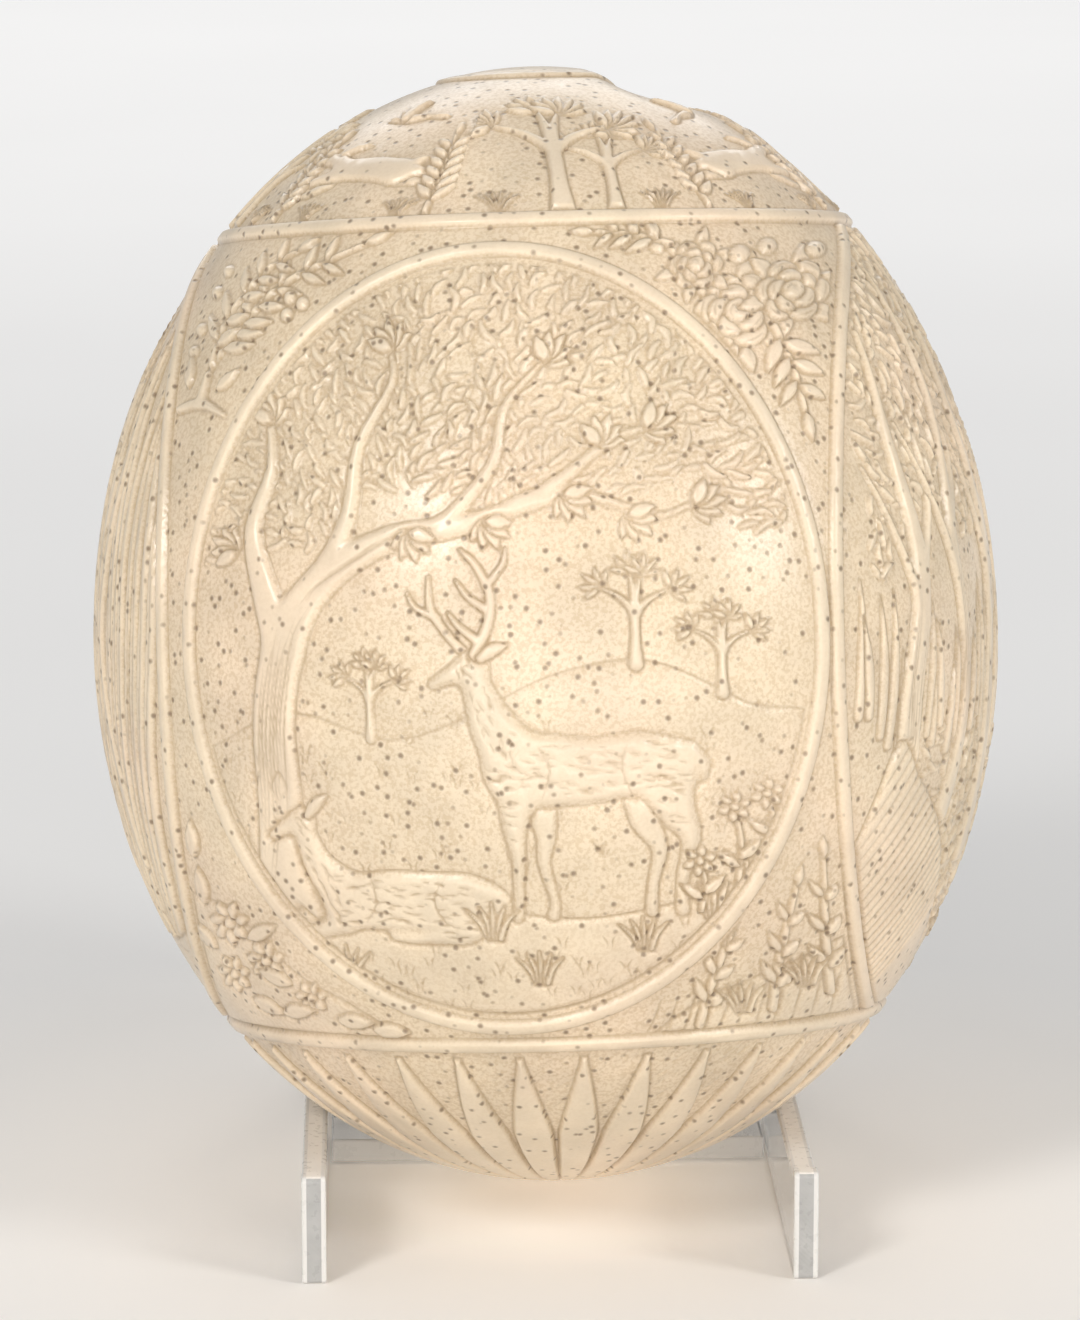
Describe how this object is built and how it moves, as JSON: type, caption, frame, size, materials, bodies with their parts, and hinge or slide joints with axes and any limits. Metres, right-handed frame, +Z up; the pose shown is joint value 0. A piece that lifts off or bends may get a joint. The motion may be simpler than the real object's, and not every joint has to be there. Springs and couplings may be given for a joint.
{
  "type": "carved ostrich egg on a clear stand",
  "caption": "Ostrich egg with low relief carving, resting on a small clear acrylic easel stand with front lips and leaning uprights.",
  "frame": {"origin": "on the ground under the middle of the whole object", "axes": "+Z up, the egg's main carved panel and the stand's front lips face -Y, the stand's side plates are parallel to the YZ plane"},
  "size_m": [0.126, 0.1335, 0.1574],
  "materials": {
    "carved_shell": "satin cream shell with small dark pores, darker in the cut lines",
    "clear_acrylic": "clear, polished faces, greyish cut edges"
  },
  "bodies": {
    "root": {"egg": "carved_shell", "stand_left_side": "clear_acrylic", "stand_right_side": "clear_acrylic", "stand_cross_plate": "clear_acrylic"}
  },
  "joints": []
}
